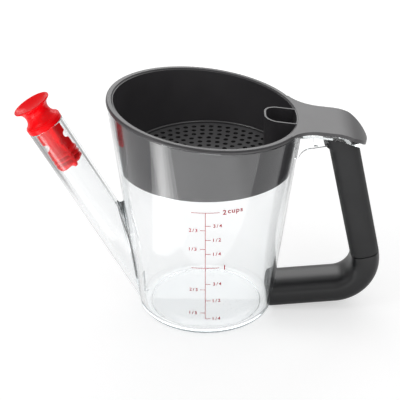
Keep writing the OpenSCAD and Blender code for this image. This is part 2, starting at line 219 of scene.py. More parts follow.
def combine(target, operation, other, overlaps=False):
    """Join, cut or keep what is shared, exactly. The second object is used up."""
    change = target.modifiers.new("combine", "BOOLEAN")
    change.solver = "EXACT"
    change.use_self = overlaps
    change.operation = operation
    change.object = other
    baked(target)
    bpy.data.objects.remove(other)
    return target


def cad_solid(node, name):
    """A copy of a CAD node in millimetres. Its mesh is loose triangles, so it is joined up first."""
    bm = bmesh.new()
    bm.from_mesh(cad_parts[node].data)
    bmesh.ops.remove_doubles(bm, verts=bm.verts, dist=WELD * MM)
    bmesh.ops.dissolve_degenerate(bm, edges=bm.edges, dist=WELD * MM)
    bmesh.ops.scale(bm, vec=(1 / MM,) * 3, verts=bm.verts)
    return add_object(name, as_mesh(name, bm))


def joined(name, things):
    """Several objects as one mesh, without cutting them into each other."""
    bm = bmesh.new()
    for thing in things:
        bm.from_mesh(thing.data)
        bpy.data.objects.remove(thing)
    return add_object(name, as_mesh(name, bm))


# %% Finishing a mesh
def finished(thing, material, body, sharp_deg=32, normal_rule=None):
    """Clean a solid, scale it to metres, shade it smooth with crisp corners, and let it ride."""
    bm = bmesh.new()
    bm.from_mesh(thing.data)
    bmesh.ops.remove_doubles(bm, verts=bm.verts, dist=WELD)
    bmesh.ops.dissolve_degenerate(bm, edges=bm.edges, dist=WELD)
    bmesh.ops.triangulate(bm, faces=[f for f in bm.faces if len(f.verts) > 4])
    for face in bm.faces:
        face.smooth = True
    for edge in bm.edges:
        edge.smooth = len(edge.link_faces) == 2 and edge.calc_face_angle(0) < math.radians(sharp_deg)
    open_edges = sum(len(edge.link_faces) != 2 for edge in bm.edges)
    print(f"{thing.name}: {len(bm.faces)} faces, {bm.calc_volume() / 1000:.1f} cm3, open edges {open_edges}")
    mesh = as_mesh(thing.name, bm)
    if normal_rule:
        normals = normal_rule(mesh)
    mesh.transform(Matrix.Scale(MM, 4))
    if normal_rule:
        mesh.normals_split_custom_set(normals)
    thing.data = mesh
    mesh.materials.clear()
    mesh.materials.append(material)
    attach(thing, body)
    return thing


# %% [markdown]
# ## Opaque plastics
# The mouldings are satin charcoal, semi-gloss black, soft matt black and satin red. Real mouldings
# aren't one flat colour. They have a fine grain from the steel mould, and their sheen wanders a little
# where the plastic flowed. Both could be painted by hand, but a noise in the object's own space costs
# nothing and has no seams. The grain is one node group that all of them share, and so do the print's
# ink and three copies of the strainer's charcoal with painted light: the drilled floor made lighter as
# painted light from above, the holes' walls near black as painted shade, and the ledge's bead lighter
# and glossier as a painted highlight.

# %% Moulded grain
def new_material(name):
    material = bpy.data.materials.new(name)
    material.use_nodes = True
    return material, material.node_tree, material.node_tree.nodes["Principled BSDF"]


def feed(tree, node, inputs):
    """Give each named input a plain value, or link it to another node's socket."""
    for key, value in inputs.items():
        if isinstance(value, bpy.types.NodeSocket):
            tree.links.new(value, node.inputs[key])
        else:
            node.inputs[key].default_value = value


def put(tree, kind, inputs=None, **settings):
    """Put a node in a tree, set it and feed it. What comes back is its outputs."""
    node = tree.nodes.new(kind)
    for name, value in settings.items():
        setattr(node, name, value)
    feed(tree, node, inputs or {})
    return node.outputs


def math_node(tree, operation, *values):
    return put(tree, "ShaderNodeMath", dict(enumerate(values)), operation=operation)[0]


def noise(tree, place, scale, detail):
    return put(tree, "ShaderNodeTexNoise", {"Vector": place, "Scale": scale, "Detail": detail})["Fac"]


SHEEN_CLOUDS = 35


def grain_group():
    """Fine moulded grain: an uneven height and a roughness that wanders a little."""
    group = bpy.data.node_groups.new("moulded_grain", "ShaderNodeTree")
    for name, value in (("Grain Size", 900.0), ("Roughness", 0.4), ("Roughness Spread", 0.06)):
        socket = group.interface.new_socket(name, in_out="INPUT", socket_type="NodeSocketFloat")
        socket.default_value = value
    for name in ("Height", "Roughness"):
        group.interface.new_socket(name, in_out="OUTPUT", socket_type="NodeSocketFloat")
    into = group.nodes.new("NodeGroupInput").outputs
    out = group.nodes.new("NodeGroupOutput").inputs
    place = put(group, "ShaderNodeTexCoord")["Object"]
    group.links.new(noise(group, place, into["Grain Size"], 2), out["Height"])
    centred = math_node(group, "SUBTRACT", noise(group, place, SHEEN_CLOUDS, 4), 0.5)
    wandering = math_node(group, "MULTIPLY_ADD", centred, into["Roughness Spread"], into["Roughness"])
    group.links.new(wandering, out["Roughness"])
    return group


MOULDED_GRAIN = grain_group()
print("grain group sockets:", [item.name for item in MOULDED_GRAIN.interface.items_tree])


# %% Put the grain in a material
BUMP_DEPTH_M = 0.0001
COLOUR_CLOUDS = 60
CLOUD_EDGES = (0.35, 0.65)


def add_bump(tree, shader, height, strength):
    bump = put(tree, "ShaderNodeBump", {"Height": height, "Strength": strength, "Distance": BUMP_DEPTH_M})
    feed(tree, shader, {"Normal": bump["Normal"]})


def add_grain(tree, shader, size, roughness, spread, bump=0.0):
    numbers = {"Grain Size": size, "Roughness": roughness, "Roughness Spread": spread}
    grain = put(tree, "ShaderNodeGroup", numbers, node_tree=MOULDED_GRAIN)
    feed(tree, shader, {"Roughness": grain["Roughness"]})
    if bump:
        add_bump(tree, shader, grain["Height"], bump)


def moulded_plastic(name, dark, light, specular, **grain):
    """A plastic between two near colours, in soft clouds, with the shared grain."""
    material, tree, shader = new_material(name)
    feed(tree, shader, {"Specular IOR Level": specular})
    add_grain(tree, shader, **grain)
    place = put(tree, "ShaderNodeTexCoord")["Object"]
    ramp = tree.nodes.new("ShaderNodeValToRGB")
    for stop, position, colour in zip(ramp.color_ramp.elements, CLOUD_EDGES, (dark, light)):
        stop.position = position
        stop.color = (*colour, 1)
    feed(tree, ramp, {"Fac": noise(tree, place, COLOUR_CLOUDS, 3)})
    feed(tree, shader, {"Base Color": ramp.outputs["Color"]})
    return material


# %% The dark finishes, and three charcoal copies with painted light and shade
charcoal = moulded_plastic("charcoal_plastic", (0.036, 0.034, 0.037), (0.042, 0.040, 0.043), specular=0.6,
                           size=1500, roughness=0.33, spread=0.05, bump=0.015)
# the floor's charcoal is the basket's made lighter: painted light from above
sieve_charcoal = moulded_plastic("sieve_charcoal", (0.095, 0.093, 0.096), (0.105, 0.103, 0.106),
                                 specular=0.6, size=1500, roughness=0.4, spread=0.05, bump=0.05)
# the bead's charcoal is lighter and glossier than the basket's: a painted highlight along the ledge
bead_charcoal = moulded_plastic("bead_charcoal", (0.075, 0.074, 0.076), (0.085, 0.084, 0.086), specular=1.0,
                                size=1500, roughness=0.16, spread=0.03)
# near-black walls for the drain holes: painted shade inside them
hole_black = moulded_plastic("hole_black", (0.006, 0.006, 0.006), (0.009, 0.009, 0.009), specular=0.2,
                             size=1500, roughness=0.7, spread=0.05)
hard_black = moulded_plastic("hard_black", (0.010, 0.010, 0.011), (0.013, 0.013, 0.014), specular=0.5,
                             size=1500, roughness=0.34, spread=0.06, bump=0.04)
soft_black = moulded_plastic("soft_grip", (0.020, 0.020, 0.021), (0.024, 0.024, 0.025), specular=0.4,
                             size=2200, roughness=0.66, spread=0.08, bump=0.15)
print("dark finishes:", charcoal.name, sieve_charcoal.name, bead_charcoal.name, hole_black.name,
      hard_black.name, soft_black.name)

# %% The red finishes
soft_red = moulded_plastic("red_silicone", (0.93, 0.001, 0.004), (0.98, 0.002, 0.006), specular=0.14,
                           size=1200, roughness=0.26, spread=0.06, bump=0.02)
print_red = moulded_plastic("print_red", (0.34, 0.004, 0.016), (0.4, 0.006, 0.022), specular=0.3,
                            size=2500, roughness=0.5, spread=0.05, bump=0.1)
print("red finishes:", soft_red.name, print_red.name)

# %% [markdown]
# ## Clear plastic
# The jug is polished clear plastic. Glass in a renderer is easy to make and hard to see: against white,
# only its edges show, where the wall is seen end-on and soaks up a little light. So the walls have
# a real thickness and a faint absorption inside. Shadow rays and the light that bounces off the floor
# pass straight through, which keeps the shadow pale and keeps the same lamp from lighting the floor twice.
# A ray that is caught between two walls would end black, so after a few turns it goes straight on too.

# %% The clear material
CLEAR_IOR = 1.5
CLEAR_COLOUR = (0.985, 0.99, 0.992, 1)
CLEAR_TINT = (0.42, 0.5, 0.52, 1)
CLEAR_DENSITY = 14
STRAIGHT_COLOUR = (0.93, 0.94, 0.945, 1)
RIPPLE_SIZE = 40
RIPPLE_BUMP = 0.2
MOST_TURNS = 5.5


def goes_straight(tree):
    """1 for a ray that isn't bent: a shadow ray, a diffuse one, or one caught between two walls."""
    path = put(tree, "ShaderNodeLightPath")
    caught = math_node(tree, "GREATER_THAN", path["Ray Depth"], MOST_TURNS)
    unseen = math_node(tree, "MAXIMUM", path["Is Shadow Ray"], path["Is Diffuse Ray"])
    return math_node(tree, "MAXIMUM", unseen, caught)


def clear_plastic():
    material, tree, shader = new_material("clear_plastic")
    feed(tree, shader, {"Base Color": CLEAR_COLOUR, "Transmission Weight": 1, "IOR": CLEAR_IOR})
    add_grain(tree, shader, size=120, roughness=0.012, spread=0.02)
    place = put(tree, "ShaderNodeTexCoord")["Object"]
    add_bump(tree, shader, noise(tree, place, RIPPLE_SIZE, 2), RIPPLE_BUMP)
    through = put(tree, "ShaderNodeBsdfTransparent", {"Color": STRAIGHT_COLOUR})["BSDF"]
    ways = {"Fac": goes_straight(tree), 1: shader.outputs["BSDF"], 2: through}
    surface = put(tree, "ShaderNodeMixShader", ways)["Shader"]
    tint = put(tree, "ShaderNodeVolumeAbsorption", {"Color": CLEAR_TINT, "Density": CLEAR_DENSITY})["Volume"]
    feed(tree, tree.nodes["Material Output"], {"Surface": surface, "Volume": tint})
    return material


clear = clear_plastic()
print("clear plastic, index and density:", CLEAR_IOR, CLEAR_DENSITY)

# %% [markdown]
# ## The clear jug
# On the real object the cup, the spout and the bridge to the handle are one clear moulding. Where the
# spout meets the cup there is a soft fillet, which catches the light. It could be made with a Bevel
# modifier, but the two surfaces meet at a very narrow angle, where a bevel tangles. So the fillet is
# worked out as a ball that rolls in the groove: each of its stops gives one rib of a closed strip.

# %% The cup's outside and inside
CUP_STEPS = 180
ROW_GAP = 5
FLOOR_RINGS = (0, 12, 24)
RECESS_EDGE_R = 0.5
FOOT_EDGE_R = 0.3


def cone_points(radius_at, low, high):
    return spaced((radius_at(low), low), (radius_at(high), high), ROW_GAP)


def flat_floor(height):
    return [(radius, height) for radius in FLOOR_RINGS]


def cup_section(radius_at, floor, corner_r, start):
    """A half section: the start, which is given the corner's place, then the corner and the cone."""
    corner_x = radius_at(floor) - corner_r * (1 - math.sin(CUP_LEAN)) / math.cos(CUP_LEAN)
    corner = arc(corner_x, floor + corner_r, corner_r, -90, -math.degrees(CUP_LEAN), 14)
    return start(corner_x) + corner + cone_points(radius_at, corner[-1][1], CONE_TOP) + [(0, CONE_TOP)]


def foot_start(corner_x):
    inner = corner_x - FOOT_W
    recess = arc(inner - RECESS_EDGE_R, FOOT_H - RECESS_EDGE_R, RECESS_EDGE_R, 90, 0, 5)
    return flat_floor(FOOT_H) + recess + arc(inner + FOOT_EDGE_R, FOOT_EDGE_R, FOOT_EDGE_R, 180, 270, 4)


def cavity_start(corner_x):
    return flat_floor(CUP_FLOOR)


jug = turned("jug_visual", cup_section(cup_r, 0, CUP_CORNER_R, foot_start), CUP_STEPS)
cavity = turned("cavity", cup_section(cavity_r, CUP_FLOOR, CAVITY_CORNER_R, cavity_start), CUP_STEPS)
print("cup and cavity points:", len(jug.data.vertices), len(cavity.data.vertices))

# %% The spout's tube and bore
TUBE_STEPS = 96
TUBE_LIP_R = 0.7
BORE_EDGE_R = 0.5
HEEL_R = 3
HEEL_X = 36.13
HEEL_END_DEG = -29
HEEL_LIFT = 0.05
FAR = 150


def tube_section():
    bottom = (spout_r(SPOUT_LEN), -SPOUT_LEN)
    lip = arc(SPOUT_R - TUBE_LIP_R, -TUBE_LIP_R, TUBE_LIP_R, 0, 90, 6)
    return [(0, -SPOUT_LEN), bottom] + spaced(bottom, lip[0], ROW_GAP)[:-1] + lip + [(0, 0)]


def bore_section():
    """The bore runs a little past both ends of the tube, so that its cut is clean."""
    bottom = (spout_r(SPOUT_LEN) - SPOUT_WALL, -SPOUT_LEN - 1)
    edge = arc(SPOUT_R - SPOUT_WALL + BORE_EDGE_R, -BORE_EDGE_R, BORE_EDGE_R, 180, 90, 5)
    side = spaced(bottom, edge[0], ROW_GAP)[:-1]
    return [(0, -SPOUT_LEN - 1), bottom] + side + edge + [(edge[-1][0], 1), (0, 1)]


def heel():
    """What the tube is kept inside of: its lower end is rounded off at the foot."""
    floor = FOOT_H + HEEL_LIFT
    rounded = arc(HEEL_X, floor + HEEL_R, HEEL_R, -90, HEEL_END_DEG, 8)
    return turned("heel", [(0, floor)] + rounded + [(120, FAR), (0, FAR)], CUP_STEPS)


tube = combine(turned("tube", tube_section(), TUBE_STEPS, SPOUT_FRAME), "INTERSECT", heel())
bore = turned("bore", bore_section(), TUBE_STEPS, SPOUT_FRAME)
everywhere = [(-FAR, -FAR), (FAR, -FAR), (FAR, FAR), (-FAR, FAR)]
bore = combine(bore, "DIFFERENCE", prism("below_floor", everywhere, -80, CUP_FLOOR))
wall = [(0, INLET_Z), (cup_r(INLET_Z), INLET_Z)] + cone_points(cup_r, INLET_Z, CONE_TOP) + [(0, CONE_TOP)]
bore = combine(bore, "DIFFERENCE", turned("wall_above_inlet", wall, CUP_STEPS))
print("tube and bore faces:", len(tube.data.polygons), len(bore.data.polygons))

# %% Places along the groove between the spout and the cup
HALVINGS = 50


def gap_to_cone(point):
    return (math.hypot(point.x, point.y) - cup_r(point.z)) * math.cos(CUP_LEAN)


def beside_tube(turn, depth, off):
    """A point `off` outside the tube, `turn` round it from the side that faces the cup."""
    out = SPOUT_SIDE * math.cos(turn) + ACROSS * math.sin(turn)
    return MOUTH - SPOUT_OUT * depth + out * (spout_r(depth) + off), out


def depth_where(turn, off, gap):
    """How far down the tube a point beside it comes within `gap` of the cup, found by halving."""
    low, high = 0.0, SPOUT_LEN
    for _ in range(HALVINGS):
        middle = (low + high) / 2
        if gap_to_cone(beside_tube(turn, middle, off)[0]) > gap:
            low = middle
        else:
            high = middle
    return (low + high) / 2


print("groove's top, mm down the spout:", round(depth_where(0, 0, 0), 1))

# %% The fillet between the spout and the cup
FILLET_R = 2.2
THINNEST = 0.12
THIN_Z = 2.5
THIN_OVER = 14
LOWEST_RIB_Z = 4.0
RIB_STEP_DEG = 2
MOST_RIB_DEG = 170
HAIR = 0.012
ROOT_IN = 0.35
ROOT_DOWN = 0.2


def fillet_rib(turn, steps=14):
    """One rib of the strip: the ball's arc from the tube to the cup, and a point inside both."""
    radius = FILLET_R
    for _ in range(4):
        ball, out = beside_tube(turn, depth_where(turn, radius, radius), radius)
        radius = FILLET_R * min(1.0, max(THINNEST, (ball.z - THIN_Z) / THIN_OVER))
    azimuth = Vector((ball.x, ball.y, 0)).normalized()
    to_cone = azimuth * -math.cos(CUP_LEAN) + Vector((0, 0, math.sin(CUP_LEAN)))
    to_tube = -out
    apart = to_tube.angle(to_cone)
    rib = []
    for i in range(steps + 1):
        part = i / steps
        # the ball touches both surfaces at this arc's ends, which lie a hair inside them
        way = (to_tube * math.sin((1 - part) * apart) + to_cone * math.sin(part * apart)) / math.sin(apart)
        rib.append(ball + way * (radius + (HAIR if i in (0, steps) else 0.0)))
    root, root_out = beside_tube(turn, depth_where(turn, 0, 0), 0)
    inward = Vector((root.x, root.y, 0)).normalized()
    rib.append(root - root_out * ROOT_IN - inward * ROOT_IN - SPOUT_OUT * ROOT_DOWN)
    return rib, ball


def fillet_strip():
    ribs = []
    for step in range(0, MOST_RIB_DEG, RIB_STEP_DEG):
        rib, ball = fillet_rib(math.radians(step))
        if ball.z < LOWEST_RIB_Z:
            break
        ribs.append(rib)
    mirrored = [[Vector((p.x, -p.y, p.z)) for p in rib] for rib in ribs[:0:-1]]
    print("fillet ribs:", len(ribs), "top of the groove, mm:", round(min(p.z for p in ribs[0][:-1]), 1))
    return swept("fillet", mirrored + ribs)


strip = fillet_strip()

# %% Join the jug
BRIDGE_X = (36, 110)
BRIDGE_HALF_Y = 40
BRIDGE_Z = (2.2, 134)
BRIDGE_SKIN = 0.5
RIM_GAP = 0.005
CONE_BOTTOM = -5


def cup_cone(extra):
    """The cup's outside as a plain cone, made thicker by `extra`."""
    low, high = (cup_r(CONE_BOTTOM) + extra, CONE_BOTTOM), (cup_r(CONE_TOP) + extra, CONE_TOP)
    return turned("cup_cone", [(0, CONE_BOTTOM), low, high, (0, CONE_TOP)], CUP_STEPS)


def bridge_from_cad():
    """The bridge, its tongue and the boss, as the CAD has them, with a skin of the cup's wall."""
    near, far = BRIDGE_X
    keep = [(near, -BRIDGE_HALF_Y), (far, -BRIDGE_HALF_Y), (far, BRIDGE_HALF_Y), (near, BRIDGE_HALF_Y)]
    bridge = combine(cad_solid("jug", "bridge"), "INTERSECT", prism("handle_side", keep, *BRIDGE_Z))
    return combine(bridge, "DIFFERENCE", cup_cone(-BRIDGE_SKIN))


above_rim = prism("above_rim", everywhere, RIM_GAP - FLANGE_T, 60, RIM_FRAME)
jug = combine(jug, "UNION", tube)
jug = combine(jug, "UNION", strip, overlaps=True)
jug = combine(jug, "DIFFERENCE", above_rim)
jug = combine(jug, "DIFFERENCE", bore)
jug = combine(jug, "UNION", bridge_from_cad())
jug = combine(jug, "DIFFERENCE", cavity)
print("jug faces:", len(jug.data.polygons))

# %% [markdown]
# ### True normals for clear walls
# Light bends at a clear wall by the angle of its surface, so even a small error in the shading shows
# as a ripple. The cup's and the tube's surfaces are known, so each corner that lies on one of them
# gets that surface's own normal, and the rest keep what Blender works out.

# %% Normals of the clear walls
ON_WALL = 0.03
MOST_TURN = math.radians(9)


def known_normals(point):
    """Each known surface within a few hundredths of a millimetre of a point, as a normal."""
    flat = Vector((point.x, point.y, 0))
    if flat.length > 1:
        out = flat.normalized() * math.cos(CUP_LEAN) - Vector((0, 0, math.sin(CUP_LEAN)))
        if abs(flat.length - cup_r(point.z)) < ON_WALL:
            yield out
        if abs(flat.length - cavity_r(point.z)) < ON_WALL:
            yield -out
    along = point - MOUTH
    out = along - SPOUT_OUT * along.dot(SPOUT_OUT)
    radius = spout_r(-along.dot(SPOUT_OUT))
    if abs(out.length - radius) < ON_WALL:
        yield out.normalized()
    if abs(out.length - radius + SPOUT_WALL) < ON_WALL:
        yield -out.normalized()


def wall_normals(mesh):
    worked_out = [Vector(corner.vector) for corner in mesh.corner_normals]
    known = [list(known_normals(vertex.co)) for vertex in mesh.vertices]
    set_by_rule = 0
    for face in mesh.polygons:
        for corner in face.loop_indices:
            best = max(known[mesh.loops[corner].vertex_index], key=face.normal.dot, default=None)
            if best and face.normal.dot(best) > math.cos(MOST_TURN):
                worked_out[corner] = best
                set_by_rule += 1
    print("corners with a known normal:", set_by_rule, "of", len(worked_out))
    return worked_out


jug = finished(jug, clear, "jug_body", 30, wall_normals)
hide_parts("jug")

# %% [markdown]
# ## The handle
# The real handle is one bent bar with a well-rounded section: hard black plastic in the lower arm and
# the elbow, and a soft sleeve over the upright grip, with a fine joint line where the two meet. It could
# be a curve with a bevel object, but a curve can't change its section on the way. So rings of a rounded
# section, a superellipse, are set along the middle line, and the sleeve's top swells into its lip.

# %% The handle's middle line
GRIP_LEAN = math.radians(12.8)
GRIP_TOP = Vector((74.5, 0, 110.3))
ARM_RISE = math.radians(5.5)
ARM_FOOT = Vector((38.3, 0, 8.8))
ELBOW_R = 19.0

up_grip = Vector((-math.sin(GRIP_LEAN), 0, math.cos(GRIP_LEAN)))
away = Vector((math.cos(GRIP_LEAN), 0, math.sin(GRIP_LEAN)))
to_cup = Vector((-math.cos(ARM_RISE), 0, -math.sin(ARM_RISE)))
under_arm = Vector((math.sin(ARM_RISE), 0, -math.cos(ARM_RISE)))
elbow_turn = math.pi / 2 + GRIP_LEAN - ARM_RISE
setback = ELBOW_R * math.tan(elbow_turn / 2)
# the corner is where the two middle lines cross
arm_whole = (GRIP_TOP - ARM_FOOT).dot(away) / -to_cup.dot(away)
corner = ARM_FOOT - to_cup * arm_whole
grip_len = (GRIP_TOP - corner).length - setback
arm_len = arm_whole - setback
grip_start = corner + up_grip * setback
arm_start = corner + to_cup * setback
elbow_centre = grip_start - away * ELBOW_R
print("grip and arm, mm:", round(grip_len, 1), round(arm_len, 1))
print("elbow, degrees:", round(math.degrees(elbow_turn), 1))

# %% Rings of the handle
HANDLE_HALF_W = 13.0
HANDLE_HALF_T = 8.3
SECTION_POINTS = 72
GRIP_ROUNDNESS = 3.1
ARM_ROUNDNESS = 2.8


def section_ring(middle, outward, inset=0.0, swell=0.0, roundness=GRIP_ROUNDNESS):
    """A superellipse across the bar. `swell` pushes its cup side out."""
    half_w, half_t = HANDLE_HALF_W - inset, HANDLE_HALF_T - inset
    ring = []
    for i in range(SECTION_POINTS):
        t = 2 * math.pi * (i + 0.5) / SECTION_POINTS
        across = half_w * math.copysign(abs(math.cos(t)) ** (2 / roundness), math.cos(t))
        thick = math.copysign(abs(math.sin(t)) ** (2 / roundness), math.sin(t))
        reach = half_t * thick - (swell * (1 - thick) / 2)
        ring.append(middle + ACROSS * across + outward * reach)
    return ring


def on_grip(s, inset=0.0, swell=0.0):
    """A ring at `s` along the grip from the elbow's end."""
    return section_ring(grip_start + up_grip * s, away, inset, swell)


print("section, mm:", 2 * HANDLE_HALF_W, "x", 2 * HANDLE_HALF_T)

# %% The hard core
SEAM_S = 1.3
SEAM_EDGE_R = 0.5
SLEEVE_T = 2.4
CORE_GAP = 0.05
PAST_CUP = 4
PAST_COVER = 3
ARM_RINGS = 12
ELBOW_RINGS = 28
GRIP_RINGS = 8


def seam_shoulder(core_inset, steps=5):
    """The rounded shoulder at the joint line: places along the grip, with the inset at each."""
    turns = [math.pi / 2 * i / steps for i in range(steps + 1)]
    shoulder = [(SEAM_S - SEAM_EDGE_R * (1 - math.sin(t)), SEAM_EDGE_R * (1 - math.cos(t))) for t in turns]
    return shoulder + [(SEAM_S, core_inset)]


def core_rings():
    """From inside the cup's wall, along the arm, round the elbow and up inside the sleeve."""
    arm_whole_len = arm_len + PAST_CUP
    rings = [section_ring(arm_start + to_cup * (arm_whole_len * (1 - i / ARM_RINGS)), under_arm,
                          roundness=ARM_ROUNDNESS) for i in range(ARM_RINGS + 1)]
    for i in range(1, ELBOW_RINGS):
        outward = Matrix.Rotation(-elbow_turn * i / ELBOW_RINGS, 3, "Y") @ under_arm
        roundness = ARM_ROUNDNESS + (GRIP_ROUNDNESS - ARM_ROUNDNESS) * i / ELBOW_RINGS
        rings.append(section_ring(elbow_centre + outward * ELBOW_R, outward, roundness=roundness))
    inset = SLEEVE_T + CORE_GAP
    rings += [on_grip(0), on_grip(SEAM_S / 2)] + [on_grip(*place) for place in seam_shoulder(inset)]
    inside = grip_len + PAST_COVER - SEAM_S
    return rings + [on_grip(SEAM_S + inside * i / GRIP_RINGS, inset) for i in range(1, GRIP_RINGS + 1)]


core = swept("handle_core_visual", core_rings())
print("core, points:", len(core.data.vertices))

# %% The cover over the grip, and the sockets
TAB_BEND_X = 71.5
TAB_BEND_R = 27.0
COVER = 5.1
CUP_GAP = 0.1
SOCKET_W = 13.5
TONGUE_SOCKET_T = 7.9
TONGUE_SOCKET_FROM_TOP = 14.3
TONGUE_SOCKET_LEN = 30
BOSS_SOCKET_T = 8.8
BOSS_SOCKET_FROM_CORNER = 15.9
BOSS_SOCKET_LEN = 80


def under_cover(depth):
    """Everything above a layer that lies `depth` under the tab and bends down with it."""
    bend = arc(TAB_BEND_X, -TAB_BEND_R, TAB_BEND_R - depth, 90, 0, 24)
    outline = [(-20, -depth)] + bend + [(200, -TAB_BEND_R), (200, 60), (-20, 60)]
    return swept("cover", [[RIM_FRAME @ Vector((x, y, z)) for x, z in outline] for y in (-60, 60)])


def socket(start, along, outward, length, thick):
    """A plain box inside the bar, where the jug's tongue or boss goes."""
    sides = [outward * (thick / 2 * a) + ACROSS * (SOCKET_W / 2 * b)
             for a, b in ((-1, -1), (1, -1), (1, 1), (-1, 1))]
    return swept("socket", [[start + along * s + side for side in sides] for s in (0, length)])


tongue_start = grip_start + up_grip * (grip_len - TONGUE_SOCKET_FROM_TOP)
boss_start = corner + to_cup * BOSS_SOCKET_FROM_CORNER
for cutter in (cup_cone(CUP_GAP), under_cover(COVER),
               socket(tongue_start, up_grip, away, TONGUE_SOCKET_LEN, TONGUE_SOCKET_T),
               socket(boss_start, to_cup, under_arm, BOSS_SOCKET_LEN, BOSS_SOCKET_T)):
    core = combine(core, "DIFFERENCE", cutter)
core = finished(core, hard_black, "jug_body", 30)
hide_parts("handle_core")

# %% The soft sleeve
SEAM_GAP = 0.3
LIP_PROUD = 2.2
LIP_H = 2.7
LIP_SWELL_H = 3.2
LIP_CLEAR = 6
SLEEVE_RINGS = 10


def sleeve():
    """Up the outside and down the inside in one loop of rings, so that both ends are closed."""
    first = SEAM_S + SEAM_GAP
    lip_s = grip_len - LIP_H
    outside = [(first, 0.5, 0), (first + 0.15, 0.15, 0), (first + 0.5, 0, 0)]
    straight = lip_s - LIP_CLEAR - first
    outside += [(first + 0.5 + straight * i / SLEEVE_RINGS, 0, 0) for i in range(1, SLEEVE_RINGS + 1)]
    for i in range(1, 9):
        rise = i / 8
        outside.append((lip_s - LIP_SWELL_H * (1 - rise), 0, LIP_PROUD * (3 * rise ** 2 - 2 * rise ** 3)))
    outside.append((grip_len + PAST_COVER, 0, LIP_PROUD))
    inside = [(grip_len + PAST_COVER, SLEEVE_T, 0), (first, SLEEVE_T, 0)]
    return swept("handle_grip_visual", [on_grip(*place) for place in outside + inside], loop=True)


grip = combine(sleeve(), "DIFFERENCE", under_cover(COVER))
grip = finished(grip, soft_black, "jug_body", 40)
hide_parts("handle_grip")

# %% [markdown]
# ## The strainer
# The basket, its rim, the thumb tab and the vent channel are one satin moulding, and the CAD's shape is
# right, so a copy of it is kept. Its floor is where the work is: nearly two hundred drain holes in
# rings. They could be modelled one by one or cut with an array. Geometry Nodes drill them instead: rings
# of points, a tapered drill on each point, and one boolean. A hole is left out where the tree's own
# measures say that the channel or the ledge is in its way, so the pattern can be changed by its inputs.

# %% Blank of the perforated floor
BASKET_GAP = 0.35
BASKET_WALL = 1.3
BASKET_SLIP = 0.02
SIEVE_Z = 92.6
SIEVE_TOP = 94.2
LEDGE_W = 1.6
FLOOR_INSET = 0.5
FLOOR_STEPS = 120
VENT_X = 31.7
VENT_W = 20.0
VENT_CLEAR = 0.6


def basket_in_r(z):
    return cavity_r(z) - BASKET_SLIP - BASKET_GAP - BASKET_WALL / math.cos(CUP_LEAN)


ledge_r = basket_in_r(SIEVE_TOP) - LEDGE_W
floor_r = ledge_r - FLOOR_INSET


def all_but(start):
    """Even turns from `start` on one side of the +X axis, the long way round, to the other side."""
    return [start + (2 * math.pi - 2 * start) * i / FLOOR_STEPS for i in range(FLOOR_STEPS + 1)]


def floor_outline():
    """The floor inside its ledge, with the vent channel's place left out."""
    half, reach = VENT_W / 2 + VENT_CLEAR, VENT_X - VENT_CLEAR
    rim = [(floor_r * math.cos(t), floor_r * math.sin(t)) for t in all_but(math.asin(half / floor_r))]
    return rim + [(reach, -half), (reach, half)]


sieve = prism("sieve_floor", floor_outline(), SIEVE_Z, SIEVE_TOP)
floor_place = prism("floor_place", floor_outline(), SIEVE_Z - 3, SIEVE_TOP + 0.4)
shell = combine(cad_solid("strainer", "strainer_visual"), "DIFFERENCE", floor_place)
print("strainer without its floor, faces:", len(shell.data.polygons))


# %% Rings of points for the holes
HOLE_D = 2.4
HOLE_PITCH = 5.0
HOLE_RINGS = 8


def add_sockets(tree, numbers):
    """The tree's named inputs and its output: a shape, some numbers and a material."""
    face = tree.interface
    face.new_socket("Geometry", in_out="INPUT", socket_type="NodeSocketGeometry")
    for name, value in numbers.items():
        kind = "NodeSocketInt" if isinstance(value, int) else "NodeSocketFloat"
        face.new_socket(name, in_out="INPUT", socket_type=kind).default_value = value
    face.new_socket("Material", in_out="INPUT", socket_type="NodeSocketMaterial")
    face.new_socket("Geometry", in_out="OUTPUT", socket_type="NodeSocketGeometry")
    return tree.nodes.new("NodeGroupInput").outputs, tree.nodes.new("NodeGroupOutput").inputs


def axes_of(tree, vector):
    return put(tree, "ShaderNodeSeparateXYZ", {0: vector})


def length_of(tree, vector):
    return put(tree, "ShaderNodeVectorMath", {0: vector}, operation="LENGTH")["Value"]


def ring_points(tree, pitch):
    """Rings of evenly spaced points, each turned by half a step against the last."""
    rings = tree.nodes.new("GeometryNodeJoinGeometry")
    for ring in range(HOLE_RINGS, -1, -1):
        count = max(3, round(2 * math.pi * ring))
        radius = math_node(tree, "MULTIPLY", pitch, ring)
        circle = put(tree, "GeometryNodeMeshCircle", {"Vertices": count, "Radius": radius})["Mesh"]
        turn = (0, 0, math.pi / count if ring % 2 else 0)
        feed(tree, rings, {0: put(tree, "GeometryNodeTransform", {"Geometry": circle, "Rotation": turn})[0]})
    return put(tree, "GeometryNodeMergeByDistance", {"Geometry": rings.outputs[0]})["Geometry"]


print("points in the outer ring:", round(2 * math.pi * HOLE_RINGS))


# %% Holes that something is in the way of
def more(tree, first, second):
    """True where the first value is the larger."""
    return put(tree, "FunctionNodeCompare", {"A": first, "B": second}, data_type="FLOAT",
               operation="GREATER_THAN")["Result"]


def logic(tree, operation, first, second):
    return put(tree, "FunctionNodeBooleanMath", {0: first, 1: second}, operation=operation)[0]


